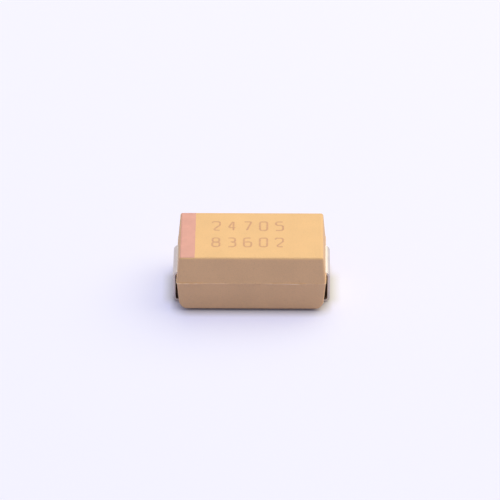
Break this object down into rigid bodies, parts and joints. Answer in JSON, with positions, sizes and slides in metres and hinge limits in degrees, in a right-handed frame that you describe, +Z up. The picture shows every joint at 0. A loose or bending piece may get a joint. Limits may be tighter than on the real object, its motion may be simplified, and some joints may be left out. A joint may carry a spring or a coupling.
{
  "type": "tantalum capacitor",
  "caption": "Small moulded surface-mount capacitor with a polarity band and two folded solder terminals, which stores charge in a circuit.",
  "frame": {"origin": "centre of the footprint, on the board that the two feet rest on", "axes": "+X from the anode, which the band marks, to the cathode; +Y across the case; +Z up from the board"},
  "size_m": [0.0074, 0.0044, 0.0029],
  "materials": {
    "moulded_epoxy": "fine matte, as moulded",
    "band_ink": "thin matte ink",
    "tin_plate": "satin electroplated tin",
    "sintered_tantalum": "fine porous sinter",
    "tantalum_wire": "drawn wire",
    "white_polymer": "waxy",
    "manganese_dioxide": "dull crystalline crust",
    "graphite": "dull brushed-on coat",
    "silver_paint": "dull dried silver paint",
    "silver_glue": "dull filled glue"
  },
  "bodies": {
    "root": {"case": "moulded_epoxy", "polarity_band": "band_ink", "anode_terminal": "tin_plate", "cathode_terminal": "tin_plate", "tantalum_slug": "sintered_tantalum", "riser_wire": "tantalum_wire", "insulating_washer": "white_polymer", "manganese_dioxide_coat": "manganese_dioxide", "graphite_coat": "graphite", "silver_coat": "silver_paint", "silver_adhesive": "silver_glue"}
  },
  "joints": []
}
